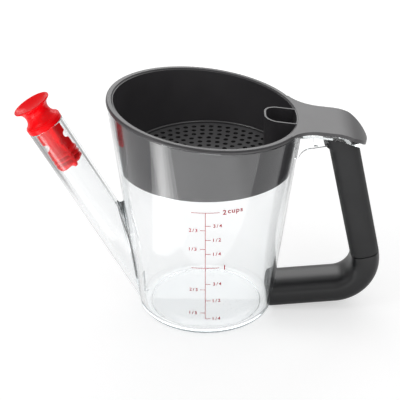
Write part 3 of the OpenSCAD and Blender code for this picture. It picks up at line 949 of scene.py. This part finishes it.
def in_the_way(tree, into):
    """True for a hole that would run into the ledge or into the vent channel."""
    place = put(tree, "GeometryNodeInputPosition")[0]
    x, y, _ = axes_of(tree, place)
    hole = into["Hole Diameter"]
    at_ledge = more(tree, length_of(tree, place), math_node(tree, "SUBTRACT", into["Edge Radius"], hole))
    beside = more(tree, x, math_node(tree, "SUBTRACT", into["Channel X"], hole))
    half = math_node(tree, "ADD", math_node(tree, "MULTIPLY", into["Channel Width"], 0.5), hole)
    within = more(tree, half, math_node(tree, "ABSOLUTE", y))
    return logic(tree, "OR", at_ledge, logic(tree, "AND", beside, within))


# %% A tree that drills rings of holes
DRILL_SIDES = 20
DRILL_BOTTOM = 0.7
DRILL_TOP = 1.25
DRILL_LEN = 1.4
DRILL_BELOW = 1.2


def drill(tree, into):
    """A tapered pin, as a mould has; its widths are shares of the hole's radius."""
    radius = math_node(tree, "MULTIPLY", into["Hole Diameter"], 0.5)
    return put(tree, "GeometryNodeMeshCone", {
        "Vertices": DRILL_SIDES, "Radius Bottom": math_node(tree, "MULTIPLY", radius, DRILL_BOTTOM),
        "Radius Top": math_node(tree, "MULTIPLY", radius, DRILL_TOP),
        "Depth": math_node(tree, "MULTIPLY", into["Thickness"], DRILL_LEN)})["Mesh"]


def copies_on(tree, points, shape):
    """Real copies of a shape, one on each point."""
    spread = put(tree, "GeometryNodeInstanceOnPoints", {"Points": points, "Instance": shape})
    return put(tree, "GeometryNodeRealizeInstances", {"Geometry": spread["Instances"]})["Geometry"]


def send_out(tree, into, shape, out):
    """The last step: the material goes on and the shape goes out."""
    finish = put(tree, "GeometryNodeSetMaterial", {"Geometry": shape, "Material": into["Material"]})
    tree.links.new(finish["Geometry"], out["Geometry"])


def drilling_tree():
    tree = bpy.data.node_groups.new("drilled_rings", "GeometryNodeTree")
    into, out = add_sockets(tree, {
        "Hole Diameter": HOLE_D, "Ring Pitch": HOLE_PITCH, "Edge Radius": ledge_r, "Channel X": VENT_X,
        "Channel Width": VENT_W, "Top": SIEVE_TOP, "Thickness": SIEVE_TOP - SIEVE_Z})
    rings = {"Geometry": ring_points(tree, into["Ring Pitch"]), "Selection": in_the_way(tree, into)}
    places = put(tree, "GeometryNodeDeleteGeometry", rings, domain="POINT")["Geometry"]
    drills = copies_on(tree, places, drill(tree, into))
    # each drill starts below the floor and ends above it
    below = math_node(tree, "MULTIPLY", into["Thickness"], DRILL_BELOW)
    height = put(tree, "ShaderNodeCombineXYZ", {"Z": math_node(tree, "SUBTRACT", into["Top"], below)})[0]
    drills = put(tree, "GeometryNodeTransform", {"Geometry": drills, "Translation": height})["Geometry"]
    cut = put(tree, "GeometryNodeMeshBoolean", {"Mesh 1": into["Geometry"], "Mesh 2": drills},
              operation="DIFFERENCE", solver="EXACT")
    send_out(tree, into, cut["Mesh"], out)
    return tree


def run_tree(thing, tree, **values):
    """Give the tree its values, run it, and keep what it makes as a plain mesh."""
    change = thing.modifiers.new(tree.name, "NODES")
    change.node_group = tree
    for item in tree.interface.items_tree:
        key = item.name.replace(" ", "_").lower()
        if item.item_type == "SOCKET" and item.in_out == "INPUT" and key in values:
            change[item.identifier] = values[key]
    return baked(thing)


# the drilled floor gets the lighter charcoal, painted light from above
sieve = run_tree(sieve, drilling_tree(), hole_diameter=HOLE_D, ring_pitch=HOLE_PITCH,
                 material=sieve_charcoal)
print("drilled floor, faces:", len(sieve.data.polygons))

# %% The ledge's bead
BEAD_R = 0.55
BEAD_OUT = 0.45
BEAD_UP = 0.7
BEAD_END_IN = 0.5


def ledge_bead():
    """The rounded inner edge of the ledge, from one side of the vent channel to the other."""
    section = arc(ledge_r + BEAD_OUT, SIEVE_TOP + BEAD_UP, BEAD_R, 0, 315, 9)
    rings = []
    for turn in all_but(math.asin((VENT_W / 2 - BEAD_END_IN) / ledge_r)):
        out = Vector((math.cos(turn), math.sin(turn), 0))
        rings.append([out * r + Vector((0, 0, z)) for r, z in section])
    return swept("ledge_bead", rings)


# %% Finish the strainer
STEEP = 0.6

strainer = finished(shell, charcoal, "strainer_body", 32)
# the floor is lighter than the basket around it: painted light from above
drilled = finished(sieve, sieve_charcoal, "strainer_body", 32)
# the bead is lighter than the basket: a painted highlight
bead = finished(ledge_bead(), bead_charcoal, "strainer_body", 60)
# the walls of the holes get a near-black charcoal: painted shade inside the holes
drilled.data.materials.append(hole_black)
for face in drilled.data.polygons:
    face.material_index = int(abs(face.normal.z) < STEEP)
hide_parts("strainer")

# %% [markdown]
# ## The spout's stopper
# It is one soft red moulding: a knob with a dished top to press, a flange that seats on the spout's mouth,
# and a stem of crossed fins with three sealing ribs. The knob is turned from a half section whose
# lips are round, because those lips carry the highlights. The ribs repeat along the stem, so
# Geometry Nodes set them out from a count and a spacing.

# %% Knob and flange
FLANGE_R = 10.35
FLANGE_EDGE_R = 0.5
FLANGE_TOP_Z = 2.75
KNOB_R = 10.85
KNOB_H = 14.9
KNOB_LIP_R = 0.42
NECK_R = 7.2
WAIST_R = 6.0
WAIST_Z = 8.6
DISH_DEPTH = 3.0
DISH_RIM_W = 1


def knob_section():
    edge_x = FLANGE_R - FLANGE_EDGE_R
    flange = [(0, 0)] + arc(edge_x, FLANGE_EDGE_R, FLANGE_EDGE_R, -90, 0, 5)
    shoulder = arc(edge_x, FLANGE_TOP_Z, FLANGE_EDGE_R, 0, 70, 5)
    waist = arc(NECK_R + WAIST_R, WAIST_Z, WAIST_R, -123, -246, 24)
    lip = arc(KNOB_R - KNOB_LIP_R, KNOB_H - KNOB_LIP_R, KNOB_LIP_R, -40, 90, 6)
    dish_rim = KNOB_R - DISH_RIM_W
    dish_r = (dish_rim ** 2 + DISH_DEPTH ** 2) / (2 * DISH_DEPTH)
    edge = math.degrees(math.asin(dish_rim / dish_r))
    dish = arc(0, KNOB_H - DISH_DEPTH + dish_r, dish_r, edge - 90, -90, 12)[:-1]
    return flange + shoulder + waist + lip + dish + [(0, KNOB_H - DISH_DEPTH)]


knob = turned("spout_stopper_visual", knob_section(), TUBE_STEPS, SPOUT_FRAME)
print("knob points:", len(knob.data.vertices))

# %% Crossed fins
STEM_LEN = 28.0
STEM_GAP = 0.3
FIN_T = 1.4
FIN_TURN = math.radians(38)
FIN_SHY = 0.4
FIN_CORNER_R = 3.0
FIN_EDGE = 0.25
NOTCH_R = 2.2
NOTCH_S = 11.0


def fin(turn):
    """A plate with round corners and a pouring notch in each edge, its edges softened."""
    half = spout_r(STEM_LEN) - SPOUT_WALL - STEM_GAP - FIN_SHY
    low = arc(half - FIN_CORNER_R, FIN_CORNER_R - STEM_LEN, FIN_CORNER_R, -90, 0, 8)
    notch = arc(half, -NOTCH_S, NOTCH_R, -90, -270, 10)
    right = low + notch + [(half, FIN_SHY)]
    outline = right + [(-x, z) for x, z in reversed(right)]
    plate = swept("fin", [[Vector((x, y, z)) for x, z in outline] for y in (-FIN_T / 2, FIN_T / 2)])
    soft = plate.modifiers.new("soft_edges", "BEVEL")
    soft.width = FIN_EDGE
    soft.segments = 2
    soft.limit_method = "ANGLE"
    soft.angle_limit = math.radians(50)
    baked(plate).data.transform(SPOUT_FRAME @ Matrix.Rotation(FIN_TURN + turn, 4, "Z"))
    return plate


fins = [fin(0), fin(math.pi / 2)]
print("fins, mm long:", STEM_LEN)

# %% A tree that sets out the sealing ribs
RIB_T = 1.1
RIB_S = 17.8
RIB_PITCH = 2.9
RIB_COUNT = 3


def rib_tree():
    tree = bpy.data.node_groups.new("sealing_ribs", "GeometryNodeTree")
    into, out = add_sockets(tree, {"Count": RIB_COUNT, "First": RIB_S, "Spacing": RIB_PITCH})
    first, step = (put(tree, "ShaderNodeCombineXYZ", {"Z": math_node(tree, "MULTIPLY", into[name], -1)})[0]
                   for name in ("First", "Spacing"))
    along = {"Count": into["Count"], "Start Location": first, "Offset": step}
    row = put(tree, "GeometryNodeMeshLine", along)["Mesh"]
    send_out(tree, into, copies_on(tree, row, into["Geometry"]), out)
    return tree


def sealing_ribs():
    radius = spout_r(RIB_S) - SPOUT_WALL - STEM_GAP
    edge = arc(radius - RIB_T / 2, -RIB_T / 2, RIB_T / 2, -90, 90, 8)
    rib = turned("rib", [(0, -RIB_T)] + edge + [(0, 0)], 72)
    rib = run_tree(rib, rib_tree(), count=RIB_COUNT, first=RIB_S, spacing=RIB_PITCH, material=soft_red)
    rib.data.transform(SPOUT_FRAME)
    return rib


stopper = joined("spout_stopper_visual", [knob, *fins, sealing_ribs()])
stopper = finished(stopper, soft_red, "stopper_body", 40)
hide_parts("spout_stopper")

# %% [markdown]
# ## The printed scale
# The real cup carries a red scale for two cups, in halves and quarters on one side of a line
# and in thirds on the other. It could be an image on the wall, but a mesh stays sharp at any distance. Each
# mark is drawn flat, as text or as a thin bar, then wrapped round the cone just outside the wall.

# %% Wrap a flat drawing round the cup
INK_T = 0.05
INK_OFF = 0.02


def on_cup(across, up, lift):
    turn = -math.pi / 2 + across / cup_r(up)
    radius = cup_r(up) + INK_OFF + lift
    return Vector((radius * math.cos(turn), radius * math.sin(turn), up))


print("a place on the wall, 50 mm up:", [round(v, 1) for v in on_cup(0, 50, 0)])


# %% Bars and letters, still flat
def bar(bm, low_u, low_v, high_u, high_v):
    """A thin bar in short pieces, so that it can follow the wall."""
    long_way = max(high_u - low_u, high_v - low_v)
    count = math.ceil(long_way)
    for i in range(count):
        if high_u - low_u > high_v - low_v:
            a, b = low_u + long_way * i / count, low_u + long_way * (i + 1) / count
            corners = [(a, low_v), (b, low_v), (b, high_v), (a, high_v)]
        else:
            a, b = low_v + long_way * i / count, low_v + long_way * (i + 1) / count
            corners = [(low_u, a), (high_u, a), (high_u, b), (low_u, b)]
        bm.faces.new([bm.verts.new((u, v, 0)) for u, v in corners])


def letters(bm, text, left, middle, size, bold, spacing):
    """Text made a mesh first; `left` is its left edge and `middle` its height's middle."""
    curve = bpy.data.curves.new("mark", "FONT")
    curve.body = text
    curve.size = size
    curve.offset = bold
    curve.resolution_u = 3
    curve.space_character = spacing
    thing = add_object("mark", curve)
    graph = bpy.context.evaluated_depsgraph_get()
    mesh = bpy.data.meshes.new_from_object(thing.evaluated_get(graph))
    bpy.data.objects.remove(thing)
    xs = [v.co.x for v in mesh.vertices]
    ys = [v.co.y for v in mesh.vertices]
    mesh.transform(Matrix.Translation((left - min(xs), middle - (min(ys) + max(ys)) / 2, 0)))
    bm.from_mesh(mesh)
    bpy.data.meshes.remove(mesh)


# %% Draw the scale
LINE_W = 0.34
MAIN_HALF = 7.6
TICK = 2.9
FULL_Z = 85.8
HALF_Z = 48.7
LEAST_Z = 12.6
QUARTERS_X = 4.2
QUARTERS = (("3/4", 77.2), ("1/2", 67.8), ("1/4", 58.3), ("3/4", 37.5), ("1/2", 25.7), ("1/4", LEAST_Z))
THIRDS_X = -8.9
THIRDS = (("2/3", 74.2), ("1/3", 61.6), ("2/3", 33.5), ("1/3", 16.8))
SMALL = {"size": 3.1, "bold": 0.055, "spacing": 1.3}
LARGE = {"size": 4.3, "bold": 0.09, "spacing": 1.3}
WORD = {"size": 4.3, "bold": 0.08, "spacing": 1.12}


def draw_scale():
    flat = bmesh.new()
    half = LINE_W / 2
    bar(flat, -half, LEAST_Z, half, FULL_Z)
    for height in (FULL_Z, HALF_Z):
        bar(flat, -MAIN_HALF, height - half, MAIN_HALF, height + half)
    letters(flat, "2", 9.2, FULL_Z, **LARGE)
    letters(flat, "cups", 12.0, FULL_Z - 0.35, **WORD)
    letters(flat, "1", 10.3, HALF_Z, **LARGE)
    for label, height in QUARTERS:
        bar(flat, 0, height - half, TICK, height + half)
        letters(flat, label, QUARTERS_X, height, **SMALL)
    for label, height in THIRDS:
        bar(flat, -TICK, height - half, 0, height + half)
        letters(flat, label, THIRDS_X, height, **SMALL)
    bmesh.ops.remove_doubles(flat, verts=flat.verts, dist=WELD)
    bmesh.ops.triangulate(flat, faces=flat.faces)
    for face in flat.faces:
        if face.normal.z < 0:
            face.normal_flip()
    return flat


def inked(flat):
    """Give the drawing its thickness, so that each mark is a closed solid, and wrap it."""
    top_of = {v: flat.verts.new((v.co.x, v.co.y, INK_T)) for v in list(flat.verts)}
    rims = [edge.link_loops[0] for edge in flat.edges if len(edge.link_faces) == 1]
    faces = list(flat.faces)
    for a, b in [(rim.vert, rim.link_loop_next.vert) for rim in rims]:
        flat.faces.new((a, b, top_of[b], top_of[a]))
    for face in faces:
        flat.faces.new([top_of[v] for v in face.verts])
        face.normal_flip()
    for vertex in flat.verts:
        vertex.co = on_cup(*vertex.co)
    return flat


marks = to_object("printed_scale", inked(draw_scale()))
marks = finished(marks, print_red, "jug_body", 30)
print("scale, mm high:", round(marks.dimensions.z / MM, 1))

# %% [markdown]
# ## Floor and light
# The photo is a catalogue shot: white paper, soft light from large boxes, a pale shadow. The paper is
# white to the camera by its own colour, so the lamps can stay at a plain level and the shadow stays
# in it. What the clear walls show is a matter of what is around them: the paper is a shade darker
# far to the left and right, as a dark card would be, and that draws the walls' edges.

# %% Node helpers for the floor and the room
def map_range(tree, value, low, high, at_low, at_high):
    """A soft step: `at_low` up to `low`, and `at_high` from `high` on."""
    numbers = {"Value": value, "From Min": low, "From Max": high, "To Min": at_low, "To Max": at_high}
    return put(tree, "ShaderNodeMapRange", numbers, interpolation_type="SMOOTHSTEP")["Result"]


def choose(tree, factor, first, second):
    """The first value where the factor is 0 and the second where it is 1; each a number or a socket."""
    return put(tree, "ShaderNodeMix", {"Factor": factor, "A": first, "B": second})["Result"]


# %% What shows through the clear walls
EDGE_SHADE = 0.36
LEFT_SHADE_X = (-0.16, -0.115)
RIGHT_SHADE_X = (0.09, 0.13)
FOOT_SHADE = 0.84
FOOT_SHADE_R = (0.031, 0.034)
FOOT_SHADE_Y = (-0.001, 0.0)


def shade_through(tree):
    """A share of the paper's light: less far left and right, and less in the foot's near half."""
    place = put(tree, "ShaderNodeNewGeometry")["Position"]
    x, y, _ = axes_of(tree, place)
    left = map_range(tree, x, *LEFT_SHADE_X, EDGE_SHADE, 1.0)
    right = map_range(tree, x, *RIGHT_SHADE_X, 1.0, EDGE_SHADE)
    outside = map_range(tree, length_of(tree, place), *FOOT_SHADE_R, 0.0, 1.0)
    behind = map_range(tree, y, *FOOT_SHADE_Y, 0.0, 1.0)
    foot = choose(tree, math_node(tree, "MAXIMUM", outside, behind), FOOT_SHADE, 1.0)
    return math_node(tree, "MULTIPLY", math_node(tree, "MULTIPLY", left, right), foot)


# %% Paper floor
FLOOR_SIZE_M = 2.4
FLOOR_PLACE_M = (0, 0.1, -0.0002)
SEEN_COLOUR = 0.62
SEEN_GLOW = 0.53
THROUGH_GLOW = 0.54
MIRRORED_COLOUR = 0.9
MIRRORED_GLOW = 0.1
LIGHTING_COLOUR = 0.8


def by_ray(tree, lighting, mirrored, through, seen):
    """One value for each way of looking at the paper. A ray through a clear wall counts as a
    mirrored one too, so its own choice comes after that."""
    path = put(tree, "ShaderNodeLightPath")
    level = choose(tree, path["Is Glossy Ray"], lighting, mirrored)
    level = choose(tree, path["Is Transmission Ray"], level, through)
    return choose(tree, path["Is Camera Ray"], level, seen)


def add_floor():
    bpy.ops.mesh.primitive_plane_add(size=FLOOR_SIZE_M, location=FLOOR_PLACE_M)
    floor = bpy.context.object
    floor.name = "floor"
    material, tree, shader = new_material("paper_floor")
    feed(tree, shader, {"Roughness": 0.9, "Specular IOR Level": 0.0, "Emission Color": (1, 1, 1, 1)})
    shade = shade_through(tree)
    colour = math_node(tree, "MULTIPLY", shade, SEEN_COLOUR)
    colour = by_ray(tree, LIGHTING_COLOUR, MIRRORED_COLOUR, colour, SEEN_COLOUR)
    glow = math_node(tree, "MULTIPLY", shade, THROUGH_GLOW)
    glow = by_ray(tree, 0.0, MIRRORED_GLOW, glow, SEEN_GLOW)
    feed(tree, shader, {"Base Color": colour, "Emission Strength": glow})
    floor.data.materials.append(material)
    return floor


print("floor, m:", tuple(round(v, 2) for v in add_floor().dimensions))

# %% World
SIDE_SHADE = 0.26
ROOM = 0.62
TO_SIDE_X = (0.45, 0.85)
OVERHEAD_Z = (0.1, 0.5)


def add_world():
    """White behind the object; the room is darker at the sides, so clear walls get edges."""
    world = bpy.data.worlds.new("studio")
    bpy.context.scene.world = world
    world.use_nodes = True
    tree = world.node_tree
    x, _, z = axes_of(tree, put(tree, "ShaderNodeTexCoord")["Generated"])
    to_side = map_range(tree, math_node(tree, "ABSOLUTE", x), *TO_SIDE_X, ROOM, SIDE_SHADE)
    room = choose(tree, map_range(tree, z, *OVERHEAD_Z, 0.0, 1.0), to_side, ROOM)
    seen = put(tree, "ShaderNodeLightPath")["Is Camera Ray"]
    feed(tree, tree.nodes["Background"], {"Color": choose(tree, seen, room, 1.0), "Strength": 1})


add_world()
print("room level at the sides and overhead:", SIDE_SHADE, ROOM)


# %% Softboxes
def add_softbox(name, place, size, radiance):
    """A rectangular lamp of a set brightness, whatever its size."""
    light = add_object(name, bpy.data.lights.new(name, "AREA"))
    light.data.shape = "RECTANGLE"
    light.data.size, light.data.size_y = size
    light.data.energy = radiance * math.pi * size[0] * size[1]
    light.location = place
    print(name, "watts:", round(light.data.energy, 2))
    return light


def aim(light, target):
    light.rotation_euler = (Vector(target) - light.location).to_track_quat("-Z", "Y").to_euler()


aim(add_softbox("back_softbox", (0.12, 1.1, 0.74), (1.3, 0.5), 2.4), (0, 0, 0.08))
aim(add_softbox("left_softbox", (-0.8, -0.35, 0.75), (0.5, 0.5), 2.5), (0, 0, 0.06))
aim(add_softbox("front_softbox", (0.35, -0.9, 1.0), (0.5, 0.4), 1.5), (0, 0, 0.06))


# %% Light that comes up off the paper
STREAK_PLACE = (-0.12, -0.104, 0.004)
STREAK_WIDTHS = (0.02, 0.04, 0.06, 0.085)
STREAK_LIFT = 0.0003
STREAK_LEN = 0.09
STREAK_TURN_DEG = 32


def lay_on_paper(light, turn_deg=0.0):
    """Face up, and seen only as a reflection."""
    light.rotation_euler = (math.pi, 0, math.radians(turn_deg))
    light.visible_camera = False
    light.visible_transmission = False


lay_on_paper(add_softbox("paper_bounce", (0.02, -0.19, 0.003), (0.66, 0.2), 1.3))
# strips of growing width, one on top of the other, make one streak with soft sides
for step, width in enumerate(STREAK_WIDTHS):
    lift = Vector((0, 0, STREAK_LIFT * step))
    size = (STREAK_LEN + width / 2, width)
    streak = add_softbox(f"paper_streak_{step}", Vector(STREAK_PLACE) + lift, size, 1.8)
    lay_on_paper(streak, STREAK_TURN_DEG)
bpy.context.scene.view_settings.view_transform = "Standard"
